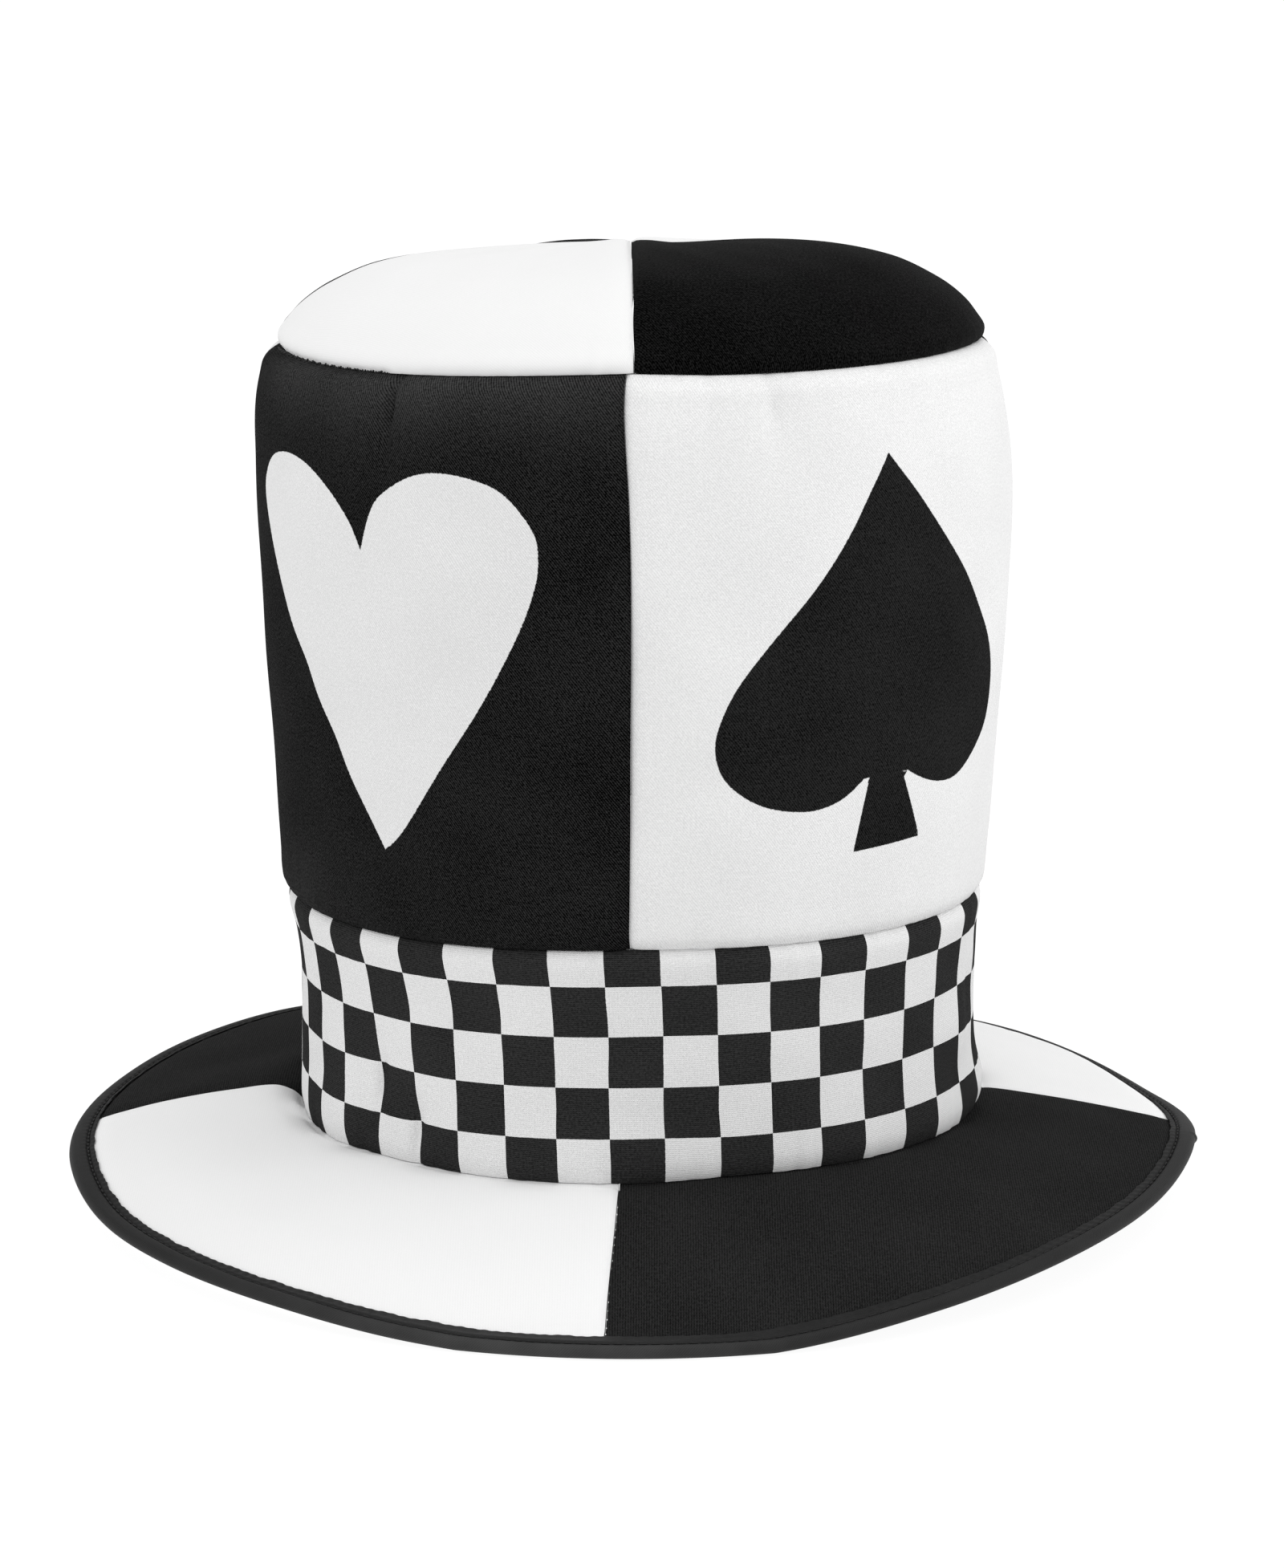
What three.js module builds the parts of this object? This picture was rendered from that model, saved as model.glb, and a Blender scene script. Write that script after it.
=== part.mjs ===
// A soft novelty top hat in foam-backed cloth. Millimetres, +Z up, standing on its brim at z = 0.
// The front faces -Y. Left and right are as the front is looked at, so right is +X.
// Azimuths are in degrees from the front, positive towards the right.

import * as THREE from 'three';

// Driving sizes
const headOpening = 192; // across the inside of the band
const clothWall = 4; // foam-backed cloth of the band, crown and tip
const bandHeight = 66;
const crownHeight = 159;
const tipRise = 27.8; // the tip's dome, above its seam
const brimWidth = 68; // from the band's outside to the binding's outer edge
const brimWall = 5;
const brimLift = 25; // from the resting surface to the seam between brim and band
const brimPuff = 2.6; // how far the brim's padding arches over a straight slope
const rimSag = 2.2; // how far the cloth sags just inside the rim
const boundWall = 2.2; // the brim's edge, squeezed inside the binding
const bindingWidth = 7.4;
const tapeWall = 0.8;
const bindingNose = 2; // the binding's outer fold, ahead of the brim's edge
const seamGap = 0.3;
const seamDip = 1.3; // how far the padding sinks at a seam between quarters
const dipReach = 7; // how far from a seam the sinking begins
const tipSag = 1.2; // how much lower the dome's left side lies than its right
const tipFullness = 3.4; // how much fuller the dome's front half is than its back half
const foldDepth = 3; // the deepest fold pressed into the cloth

// Seams between quarters: their azimuths at the front, right, back and left
const fullTurn = 360;
const seamTurns = {
  tip: [0.6, 90, 180, 270],
  crown: [-0.5, 91.5, 179.5, 269.5],
  brim: [-2, 88, 179.5, 269.5],
};
const quarters = [
  { side: 'front_right', start: 0, tip: 'black', crown: 'white', brim: 'black' },
  { side: 'back_right', start: 1, tip: 'white', crown: 'black', brim: 'white' },
  { side: 'back_left', start: 2, tip: 'black', crown: 'white', brim: 'black' },
  { side: 'front_left', start: 3, tip: 'white', crown: 'black', brim: 'white' },
];

// Band, crown and tip from their lower seam up. Heights are shares of the piece's own height.
// Reach is a share of the band's outer radius, lean a share of it towards the right.
const bandRows = [
  { height: 0, reach: 1.001, lean: 0.02 },
  { height: 0.08, reach: 1.008, lean: 0.02 },
  { height: 0.28, reach: 0.999, lean: 0.017 },
  { height: 0.5, reach: 0.997, lean: 0.016 },
  { height: 0.68, reach: 0.998, lean: 0.015 },
  { height: 0.82, reach: 1.006, lean: 0.011 },
  { height: 0.94, reach: 1.02, lean: 0.007 },
  { height: 1, reach: 1.015, lean: 0.005 },
];
const crownRows = [
  { height: 0, reach: 1.02, lean: 0.005 },
  { height: 0.02, reach: 1.032, lean: 0.003 },
  { height: 0.07, reach: 1.037, lean: 0.004 },
  { height: 0.2, reach: 1.049, lean: 0.006 },
  { height: 0.36, reach: 1.065, lean: 0.007 },
  { height: 0.52, reach: 1.08, lean: 0.009 },
  { height: 0.68, reach: 1.088, lean: 0.008 },
  { height: 0.8, reach: 1.087, lean: 0.002 },
  { height: 0.88, reach: 1.079, lean: -0.006 },
  { height: 0.94, reach: 1.061, lean: -0.01 },
  { height: 0.98, reach: 1.036, lean: -0.008 },
  { height: 1, reach: 1.015, lean: -0.004 },
];
// The dome from its seam to its middle: in is the distance from the middle as a share of the seam's radius
const tipRows = [
  { in: 1, height: 0 },
  { in: 0.99, height: 0.045 },
  { in: 0.96, height: 0.2 },
  { in: 0.91, height: 0.373 },
  { in: 0.83, height: 0.555 },
  { in: 0.7, height: 0.73 },
  { in: 0.45, height: 0.862 },
  { in: 0, height: 1 },
];
// How high each seam waves round the hat, as shares of the brim's lift
const seamRows = [
  { azimuth: -180, band: 0, crown: 0, tip: 0 },
  { azimuth: -90, band: -0.17, crown: -0.06, tip: -0.09 },
  { azimuth: -45, band: -0.03, crown: -0.02, tip: -0.1 },
  { azimuth: 0, band: 0.05, crown: 0.09, tip: 0.02 },
  { azimuth: 15, band: 0.09, crown: 0.08, tip: 0 },
  { azimuth: 45, band: 0.03, crown: 0.02, tip: 0 },
  { azimuth: 72, band: -0.05, crown: -0.039, tip: 0.056 },
  { azimuth: 90, band: 0.04, crown: -0.06, tip: 0.08 },
];
// The brim's outer edge: lift as a share of the brim's lift, reach as a share of the edge's radius
const edgeRows = [
  { azimuth: -180, lift: 0, reach: 1 },
  { azimuth: -165, lift: 0.08, reach: 1 },
  { azimuth: -150, lift: 0.29, reach: 1 },
  { azimuth: -138, lift: 0.44, reach: 1 },
  { azimuth: -122, lift: 0.44, reach: 1 },
  { azimuth: -106, lift: 0.38, reach: 1 },
  { azimuth: -90, lift: 0.36, reach: 1 },
  { azimuth: -76, lift: 0.35, reach: 0.997 },
  { azimuth: -62, lift: 0.3, reach: 1 },
  { azimuth: -50, lift: 0.28, reach: 1 },
  { azimuth: -35, lift: 0.23, reach: 1 },
  { azimuth: -20, lift: 0.11, reach: 1 },
  { azimuth: 0, lift: 0, reach: 1 },
  { azimuth: 14, lift: 0.09, reach: 1 },
  { azimuth: 30, lift: 0.31, reach: 1 },
  { azimuth: 48, lift: 0.51, reach: 1 },
  { azimuth: 66, lift: 0.58, reach: 0.994 },
  { azimuth: 80, lift: 0.64, reach: 0.997 },
  { azimuth: 90, lift: 0.51, reach: 0.995 },
  { azimuth: 104, lift: 0.365, reach: 0.984 },
  { azimuth: 120, lift: 0.29, reach: 0.998 },
  { azimuth: 136, lift: 0.26, reach: 1 },
  { azimuth: 150, lift: 0.2, reach: 1 },
  { azimuth: 165, lift: 0.07, reach: 1 },
];
// The brim's arch from the band out, as shares of the brim's width, of its puff and of the rim's sag
const archRows = [
  { out: 0, puff: 0, sag: 0 },
  { out: 0.05, puff: 0.6, sag: 0 },
  { out: 0.13, puff: 1, sag: 0 },
  { out: 0.3, puff: 0.9, sag: 0.05 },
  { out: 0.6, puff: 0.55, sag: 0.4 },
  { out: 0.85, puff: 0.2, sag: 1 },
  { out: 1, puff: 0, sag: 0 },
];
// How much of the arch and of the rim's sag there is round the hat
const rimRows = [
  { azimuth: -180, puff: 1, sag: 0 },
  { azimuth: -120, puff: 1, sag: 0 },
  { azimuth: -96, puff: 2.1, sag: 0 },
  { azimuth: -80, puff: 1.7, sag: 0.2 },
  { azimuth: -60, puff: 1, sag: 1 },
  { azimuth: 56, puff: 1, sag: 1 },
  { azimuth: 74, puff: 0.6, sag: 0.8 },
  { azimuth: 88, puff: 0.2, sag: 0.4 },
  { azimuth: 102, puff: 0.6, sag: 0 },
  { azimuth: 120, puff: 1, sag: 0 },
];
// Folds pressed into the band and the crown: height and tall are shares of the piece's height,
// across a share of the band's radius and depth a share of the deepest fold. Negative depth bulges.
const bandFolds = [
  { azimuth: -47, height: 0.33, across: 0.1, tall: 0.3, depth: 0.55 },
  { azimuth: -38, height: 0.2, across: 0.08, tall: 0.22, depth: 0.5 },
  { azimuth: -60, height: 0.15, across: 0.12, tall: 0.2, depth: -0.35 },
  { azimuth: 84, height: 0.03, across: 0.2, tall: 0.11, depth: -0.55 },
  { azimuth: 60, height: 0.45, across: 0.2, tall: 0.35, depth: 0.25 },
  { azimuth: -150, height: 0.4, across: 0.15, tall: 0.35, depth: 0.45 },
];
const crownFolds = [
  { azimuth: -38, height: 0.94, across: 0.06, tall: 0.09, depth: 0.45 },
  { azimuth: 21.5, height: 0.95, across: 0.06, tall: 0.07, depth: 0.4 },
  { azimuth: 10.5, height: 0.68, across: 0.12, tall: 0.25, depth: 0.3 },
  { azimuth: -70, height: 0.75, across: 0.18, tall: 0.2, depth: 0.25 },
  { azimuth: 150, height: 0.9, across: 0.08, tall: 0.1, depth: 0.45 },
];
// The binding's section: in as a share of its width from its outer fold, side as a share of half its height
const bindingRows = [
  { in: 1, side: 0.97 },
  { in: 0.9, side: 0.98 },
  { in: 0.76, side: 0.84 },
  { in: 0.6, side: 0.98 },
  { in: 0.34, side: 1 },
  { in: 0.11, side: 0.76 },
  { in: 0, side: 0 },
  { in: 0.11, side: -0.76 },
  { in: 0.34, side: -1 },
  { in: 0.56, side: -1 },
  { in: 1, side: -0.97 },
];

// Sizes that follow
const bandRadius = headOpening / 2 + clothWall;
const edgeRadius = bandRadius + brimWidth;
const tipRadius = bandRadius * crownRows.at(-1).reach;
const halfBinding = boundWall / 2 + seamGap + tapeWall;

// Steps of the meshes: more near a seam, where the padding turns in
const halfSteps = [0, 0.018, 0.05, 0.11, 0.18, 0.26, 0.34, 0.42];
const quarterSteps = [...halfSteps, 0.5, ...halfSteps.map((share) => 1 - share).reverse()];
const bandSteps = 60;

const radians = (degrees) => THREE.MathUtils.degToRad(degrees);
const lerp = THREE.MathUtils.lerp;

function place(radius, azimuth, height) {
  const turn = radians(azimuth);
  return new THREE.Vector3(radius * Math.sin(turn), -radius * Math.cos(turn), height);
}

// The value of one column of a table, on a smooth curve through its rows, where another column holds a value
function follow(rows, key, column, at) {
  const last = rows.length - 1;
  const passed = rows.findIndex((row) => row[key] >= at);
  const upper = passed < 0 ? last : Math.max(passed, 1);
  const [from, to] = [rows[upper - 1], rows[upper]];
  const span = to[key] - from[key];
  const share = THREE.MathUtils.clamp((at - from[key]) / span, 0, 1);
  const slope = (index) => {
    const before = rows[Math.max(index - 1, 0)];
    const after = rows[Math.min(index + 1, last)];
    return (after[column] - before[column]) / (after[key] - before[key]);
  };
  const square = share * share;
  const cube = square * share;
  return from[column] * (2 * cube - 3 * square + 1)
    + to[column] * (3 * square - 2 * cube)
    + slope(upper - 1) * span * (cube - 2 * square + share)
    + slope(upper) * span * (cube - square);
}

// The same for a table that runs once round the hat
function around(rows, column, azimuth) {
  const turned = (row, by) => ({ ...row, azimuth: row.azimuth + by });
  const lap = [turned(rows.at(-1), -fullTurn), ...rows, turned(rows[0], fullTurn), turned(rows[1], fullTurn)];
  return follow(lap, 'azimuth', column, turnedIn(azimuth));
}

function turnedIn(azimuth) {
  return THREE.MathUtils.euclideanModulo(azimuth + fullTurn / 2, fullTurn) - fullTurn / 2;
}

const crownLevel = brimLift + bandHeight;
const tipLevel = crownLevel + crownHeight;
const bandSeam = (azimuth) => brimLift * (1 + around(seamRows, 'band', azimuth));
const crownSeam = (azimuth) => crownLevel + brimLift * around(seamRows, 'crown', azimuth);
const tipSeam = (azimuth) => tipLevel + brimLift * around(seamRows, 'tip', azimuth);

// How deep the padding lies below its own surface at a distance from the nearest seam
function sunk(distance) {
  const share = Math.max(0, 1 - distance / dipReach);
  return seamDip * share * share;
}

// Distance along an arc from an azimuth to the nearest of a layer's seams
function toSeam(layer, radius, azimuth) {
  const turns = seamTurns[layer].map((turn) => Math.abs(turnedIn(azimuth - turn)));
  return radius * radians(Math.min(...turns));
}

// How deep the folds of a piece press at a place on it
function pressed(folds, azimuth, height) {
  return folds.reduce((sum, fold) => {
    const along = radians(turnedIn(azimuth - fold.azimuth)) / fold.across;
    const up = (height - fold.height) / fold.tall;
    return sum + foldDepth * fold.depth * Math.exp(-along * along - up * up);
  }, 0);
}

// Gathers four-sided facets into one geometry with shared corners
class Facets {
  positions = [];
  known = new Map();
  faces = [];

  corner(point) {
    const key = point.toArray().map((value) => value.toFixed(5)).join();
    if (!this.known.has(key)) {
      this.known.set(key, this.positions.length / 3);
      this.positions.push(...point.toArray());
    }
    return this.known.get(key);
  }

  face(...points) {
    const [a, b, c] = points.map((point) => this.corner(point));
    if (a !== b && b !== c && c !== a) this.faces.push(a, b, c);
  }

  quad(a, b, c, d) {
    this.face(a, b, c);
    this.face(a, c, d);
  }

  geometry() {
    const geometry = new THREE.BufferGeometry();
    geometry.setAttribute('position', new THREE.Float32BufferAttribute(this.positions, 3));
    geometry.setIndex(this.faces);
    geometry.computeVertexNormals();
    return geometry;
  }
}

// One solid between two skins that share a grid, closed along the grid's open edges.
// Rows run round the hat, and a ring joins its last column to its first.
function solidBetween(outer, inner, ring) {
  const facets = new Facets();
  const top = outer.length - 1;
  const end = outer[0].length - 1;
  for (let column = 0; column < (ring ? end + 1 : end); column += 1) {
    const next = (column + 1) % (end + 1);
    for (let row = 0; row < top; row += 1) {
      facets.quad(outer[row][column], outer[row][next], outer[row + 1][next], outer[row + 1][column]);
      facets.quad(inner[row][next], inner[row][column], inner[row + 1][column], inner[row + 1][next]);
    }
    facets.quad(inner[0][column], inner[0][next], outer[0][next], outer[0][column]);
    facets.quad(outer[top][column], outer[top][next], inner[top][next], inner[top][column]);
  }
  for (let row = 0; row < (ring ? 0 : top); row += 1) {
    facets.quad(inner[row][0], outer[row][0], outer[row + 1][0], inner[row + 1][0]);
    facets.quad(outer[row][end], inner[row][end], inner[row + 1][end], outer[row + 1][end]);
  }
  return facets.geometry();
}

// A closed section carried once round the hat. Each entry of the section gives its place at an azimuth.
function ringOf(section, azimuths) {
  const facets = new Facets();
  const loops = section.map((at) => azimuths.map(at));
  loops.forEach((loop, row) => {
    const above = loops[(row + 1) % loops.length];
    loop.forEach((point, step) => {
      const next = (step + 1) % azimuths.length;
      facets.quad(point, above[step], above[next], loop[next]);
    });
  });
  return facets.geometry();
}

// The azimuths of one quarter's columns, from one seam of its layer to the next
function columnsOf(layer, quarter) {
  const turns = [...seamTurns[layer], seamTurns[layer][0] + fullTurn];
  return quarterSteps.map((share) => lerp(turns[quarter.start], turns[quarter.start + 1], share));
}

// Moves a quarter away from the two seams beside it, by half the gap from each
function partQuarter(geometry, azimuths) {
  const middle = (azimuths[0] + azimuths.at(-1)) / 2;
  const away = place((seamGap / 2) * Math.SQRT2, middle, 0);
  return geometry.translate(away.x, away.y, away.z);
}

// A point of the band's or the crown's skin. Depth is how far it lies inside the outer skin.
function wallPoint(piece, azimuth, height, depth) {
  const reach = follow(piece.rows, 'height', 'reach', height) * bandRadius;
  const lean = follow(piece.rows, 'height', 'lean', height) * bandRadius;
  const dip = piece.layer ? sunk(toSeam(piece.layer, reach, azimuth)) : 0;
  const low = piece.low(azimuth) + seamGap / 2;
  const high = piece.high(azimuth) - seamGap / 2;
  const radius = reach - depth - dip - pressed(piece.folds, azimuth, height);
  const point = place(radius, azimuth, lerp(low, high, height));
  point.x += lean;
  return point;
}

const bandPiece = { rows: bandRows, folds: bandFolds, low: bandSeam, high: crownSeam };
const crownPiece = { rows: crownRows, folds: crownFolds, low: crownSeam, high: tipSeam, layer: 'crown' };

function wallSkin(piece, azimuths, depth) {
  return piece.rows.map(({ height }) => azimuths.map((azimuth) => wallPoint(piece, azimuth, height, depth)));
}

function makeBand() {
  const azimuths = Array.from({ length: bandSteps }, (_, step) => (fullTurn * step) / bandSteps);
  const skins = [0, clothWall].map((depth) => wallSkin(bandPiece, azimuths, depth));
  return solidBetween(...skins, true);
}

function makeCrown(quarter) {
  const azimuths = columnsOf('crown', quarter);
  const skins = [0, clothWall].map((depth) => wallSkin(crownPiece, azimuths, depth));
  return partQuarter(solidBetween(...skins, false), azimuths);
}

// A point of the tip's dome. Depth is how far it lies inside the outer skin.
function tipPoint(azimuth, row, depth) {
  const radius = (tipRadius - depth) * row.in;
  const dip = sunk(toSeam('tip', radius, azimuth));
  const flatness = 1 - row.in * row.in;
  const turn = radians(azimuth);
  const full = (tipSag * Math.sin(turn) + tipFullness * Math.cos(turn)) * 4 * row.in * (1 - row.in);
  const rise = (tipRise - depth + full) * row.height - dip * flatness;
  const seam = lerp(tipLevel, tipSeam(azimuth), row.in) + seamGap / 2;
  const point = place(radius - dip * row.in * row.in, azimuth, seam + rise);
  point.x += crownRows.at(-1).lean * bandRadius;
  return point;
}

function makeTip(quarter) {
  const azimuths = columnsOf('tip', quarter);
  const skin = (depth) => tipRows.map((row) => azimuths.map((azimuth) => tipPoint(azimuth, row, depth)));
  return partQuarter(solidBetween(skin(0), skin(clothWall), false), azimuths);
}

// How far the band's foot reaches at an azimuth, with its lean and its folds
function bandFoot(azimuth) {
  const [foot] = bandRows;
  const lean = foot.lean * Math.sin(radians(azimuth));
  return bandRadius * (foot.reach + lean) - pressed(bandFolds, azimuth, foot.height);
}

const outerEdge = (azimuth) => edgeRadius * around(edgeRows, 'reach', azimuth);

// The height of the brim's middle layer: sloping and arched, and lying flat where it rests
function brimMiddle(azimuth, radius) {
  const foot = bandFoot(azimuth);
  const out = THREE.MathUtils.clamp((radius - foot) / (outerEdge(azimuth) - foot), 0, 1);
  const root = bandSeam(azimuth) - seamGap / 2 - brimWall / 2;
  const edge = brimLift * around(edgeRows, 'lift', azimuth);
  const puff = brimPuff * follow(archRows, 'out', 'puff', out) * around(rimRows, 'puff', azimuth);
  const sag = rimSag * follow(archRows, 'out', 'sag', out) * around(rimRows, 'sag', azimuth);
  return Math.max(lerp(root, edge, out) + puff - sag, halfBinding);
}

function makeBrim(quarter) {
  const edgeInset = bindingNose + seamGap;
  const squeezed = bindingWidth + seamGap;
  const radiiAt = (azimuth) => {
    const edge = outerEdge(azimuth);
    const foot = bandFoot(azimuth);
    const full = edge - bindingWidth - brimWall;
    const between = [0.66, 0.33].map((share) => lerp(foot, full, share));
    const arch = [0.13, 0.05, 0.02, 0].map((share) => foot + brimWidth * share);
    return [edge - edgeInset, edge - squeezed, full, ...between, ...arch, foot - clothWall];
  };
  const azimuths = columnsOf('brim', quarter);
  const skin = (side) => radiiAt(0).map((_, row) => azimuths.map((azimuth) => {
    const radius = radiiAt(azimuth)[row];
    const dip = radius > bandFoot(azimuth) ? sunk(toSeam('brim', radius, azimuth)) : 0;
    const wall = row < 2 ? boundWall : brimWall - dip;
    return place(radius, azimuth, brimMiddle(azimuth, radius) + (side * wall) / 2);
  }));
  return partQuarter(solidBetween(skin(1), skin(-1), false), azimuths);
}

// The binding's folded tape: its outside and then its inside, back to the start
function makeBinding() {
  const slot = [
    { in: 1, side: -(halfBinding - tapeWall) / halfBinding },
    { in: bindingNose / bindingWidth, side: -(halfBinding - tapeWall) / halfBinding },
    { in: bindingNose / bindingWidth, side: (halfBinding - tapeWall) / halfBinding },
    { in: 1, side: (halfBinding - tapeWall) / halfBinding },
  ];
  const section = [...bindingRows, ...slot].map((row) => (azimuth) => {
    const radius = outerEdge(azimuth) - bindingWidth * row.in;
    const height = brimMiddle(azimuth, radius) + halfBinding * row.side;
    return place(radius, azimuth, Math.max(height, 0));
  });
  return ringOf(section, quarters.flatMap((quarter) => columnsOf('brim', quarter).slice(1)));
}

// Finishes
const finishes = {
  white: () => new THREE.MeshStandardMaterial({ color: 0xf1f1ef, roughness: 0.85, metalness: 0 }),
  black: () => new THREE.MeshStandardMaterial({ color: 0x2a2a2b, roughness: 0.85, metalness: 0 }),
  checks: () => new THREE.MeshStandardMaterial({ color: 0x8f8f8e, roughness: 0.85, metalness: 0 }),
  binding: () => new THREE.MeshStandardMaterial({ color: 0x303031, roughness: 0.6, metalness: 0 }),
};

const hat = new THREE.Group();

function add(name, geometry, finish) {
  const mesh = new THREE.Mesh(geometry, finishes[finish]());
  mesh.name = name;
  hat.add(mesh);
}

for (const quarter of quarters) {
  add(`tip_${quarter.side}`, makeTip(quarter), quarter.tip);
  add(`crown_${quarter.side}`, makeCrown(quarter), quarter.crown);
  add(`brim_${quarter.side}`, makeBrim(quarter), quarter.brim);
}
add('check_band', makeBand(), 'checks');
add('brim_binding', makeBinding(), 'binding');

export default hat;
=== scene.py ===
import math

import bmesh
import bpy
import numpy as np
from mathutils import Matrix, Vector


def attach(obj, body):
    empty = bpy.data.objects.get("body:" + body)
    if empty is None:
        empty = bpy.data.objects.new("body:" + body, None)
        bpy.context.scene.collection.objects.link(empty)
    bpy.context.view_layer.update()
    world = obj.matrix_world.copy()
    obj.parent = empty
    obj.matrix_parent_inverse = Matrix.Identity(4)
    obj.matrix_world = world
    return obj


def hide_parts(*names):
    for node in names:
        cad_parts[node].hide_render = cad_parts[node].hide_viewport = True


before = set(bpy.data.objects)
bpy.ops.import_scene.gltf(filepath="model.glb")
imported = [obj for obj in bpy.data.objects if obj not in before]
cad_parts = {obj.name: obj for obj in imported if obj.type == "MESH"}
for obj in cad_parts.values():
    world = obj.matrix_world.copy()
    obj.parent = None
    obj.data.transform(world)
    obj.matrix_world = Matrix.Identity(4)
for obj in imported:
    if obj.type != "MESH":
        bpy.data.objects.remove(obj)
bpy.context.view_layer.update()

MM = 0.001
FULL_TURN = 360.0


def table(columns, *rows):
    return dict(zip(columns.split(), np.array(rows, float).T))


# Driving sizes
BAND_RADIUS = 100.0
CLOTH_WALL = 4.0
BAND_HEIGHT = 66.0
CROWN_HEIGHT = 159.0
TIP_RISE = 27.8
BRIM_WIDTH = 68.0
BRIM_WALL = 5.0
BRIM_LIFT = 25.0
BRIM_PUFF = 2.6
RIM_SAG = 2.2
BOUND_WALL = 2.2
BINDING_WIDTH = 7.4
TAPE_WALL = 0.8
BINDING_NOSE = 2.0
SEAM_GAP = 0.3
SEAM_DIP = 1.3
DIP_REACH = 7.0
TIP_SAG = 1.2
TIP_FULLNESS = 3.4
FOLD_DEPTH = 3.0

SEAM_TURNS = {
    "tip": (0.6, 90, 180, 270),
    "crown": (-0.5, 91.5, 179.5, 269.5),
    "brim": (-2, 88, 179.5, 269.5),
}
QUARTERS = (
    {"side": "front_right", "start": 0, "tip": "black", "crown": "white", "brim": "black", "suit": "spade"},
    {"side": "back_right", "start": 1, "tip": "white", "crown": "black", "brim": "white", "suit": "diamond"},
    {"side": "back_left", "start": 2, "tip": "black", "crown": "white", "brim": "black", "suit": "club"},
    {"side": "front_left", "start": 3, "tip": "white", "crown": "black", "brim": "white", "suit": "heart"},
)

BAND_ROWS = table(
    "height reach lean",
    (0, 1.001, 0.02), (0.08, 1.008, 0.02), (0.28, 0.999, 0.017), (0.5, 0.997, 0.016),
    (0.68, 0.998, 0.015), (0.82, 1.006, 0.011), (0.94, 1.02, 0.007), (1, 1.015, 0.005),
)
CROWN_ROWS = table(
    "height reach lean",
    (0, 1.02, 0.005), (0.02, 1.032, 0.003), (0.07, 1.037, 0.004), (0.2, 1.049, 0.006),
    (0.36, 1.065, 0.007), (0.52, 1.08, 0.009), (0.68, 1.088, 0.008), (0.8, 1.087, 0.002),
    (0.88, 1.079, -0.006), (0.94, 1.061, -0.01), (0.98, 1.036, -0.008), (1, 1.015, -0.004),
)
# The dome by its distance from the middle
TIP_ROWS = table(
    "in height",
    (0, 1), (0.45, 0.862), (0.7, 0.73), (0.83, 0.555), (0.91, 0.373), (0.96, 0.2), (0.99, 0.045), (1, 0),
)
# How each seam waves, as shares of the brim's lift
SEAM_ROWS = table(
    "azimuth band crown tip",
    (-180, 0, 0, 0), (-90, -0.17, -0.06, -0.09), (-45, -0.03, -0.02, -0.1), (0, 0.05, 0.09, 0.02),
    (15, 0.09, 0.08, 0), (45, 0.03, 0.02, 0), (72, -0.05, -0.039, 0), (90, 0.04, -0.06, -0.03),
)
EDGE_ROWS = table(
    "azimuth lift reach",
    (-180, 0, 1), (-165, 0.08, 1), (-150, 0.29, 1), (-138, 0.44, 1), (-122, 0.44, 1), (-106, 0.38, 1),
    (-90, 0.36, 1), (-76, 0.35, 0.997), (-62, 0.3, 1), (-50, 0.28, 1), (-35, 0.23, 1), (-20, 0.11, 1),
    (0, 0, 1), (14, 0.09, 1), (30, 0.31, 1), (48, 0.51, 1), (66, 0.58, 0.994), (80, 0.64, 0.997),
    (90, 0.51, 0.995), (104, 0.365, 0.984), (120, 0.29, 0.998), (136, 0.26, 1), (150, 0.2, 1), (165, 0.07, 1),
)
# How far the very edge of the brim droops, in millimetres
DROOP_ROWS = table(
    "azimuth droop",
    (-180, 0), (0, 0), (84, 0), (96, 0.4), (104, 1), (112, 1.5), (118, 1.4), (125, 0.6), (132, 0),
    (142, -0.2), (160, 0),
)
# How far each of the brim's seams strays from its radial line, in degrees, on its way out
STRAY_ROWS = table(
    "out front right back left",
    (0, 0, 0, 0, 0), (0.2, -0.1, 0.1, 0.3, -0.8), (0.45, -0.3, 0.3, 0.6, -2.2), (0.7, -0.5, 0.2, 0.4, -2.4),
    (1, -0.6, 0, 0, -1),
)
STRAY_SIDES = ("front", "right", "back", "left")
ARCH_ROWS = table(
    "out puff sag",
    (0, 0, 0), (0.05, 0.6, 0), (0.13, 1, 0), (0.3, 0.9, 0.05), (0.6, 0.55, 0.4), (0.85, 0.2, 1), (1, 0, 0),
)
RIM_ROWS = table(
    "azimuth puff sag",
    (-180, 1, 0), (-120, 1, 0), (-96, 2.1, 0), (-80, 1.7, 0.2), (-60, 1, 1), (56, 1, 1), (74, 0.6, 0.8),
    (88, 0.2, 0.4), (102, 0.6, 0), (120, 1, 0),
)
# Folds pressed into the band and the crown. Negative depth bulges.
BAND_FOLDS = table(
    "azimuth height across tall depth",
    (-47, 0.33, 0.1, 0.3, 0.55), (-38, 0.2, 0.08, 0.22, 0.5), (-60, 0.15, 0.12, 0.2, -0.35),
    (84, 0.03, 0.2, 0.11, -0.55), (60, 0.45, 0.2, 0.35, 0.25), (-150, 0.4, 0.15, 0.35, 0.45),
)
CROWN_FOLDS = table(
    "azimuth height across tall depth",
    (-38, 0.94, 0.06, 0.09, 0.45), (21.5, 0.95, 0.06, 0.07, 0.4), (10.5, 0.68, 0.12, 0.25, 0.3),
    (-70, 0.75, 0.18, 0.2, 0.25), (150, 0.9, 0.08, 0.1, 0.45),
)
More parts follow.
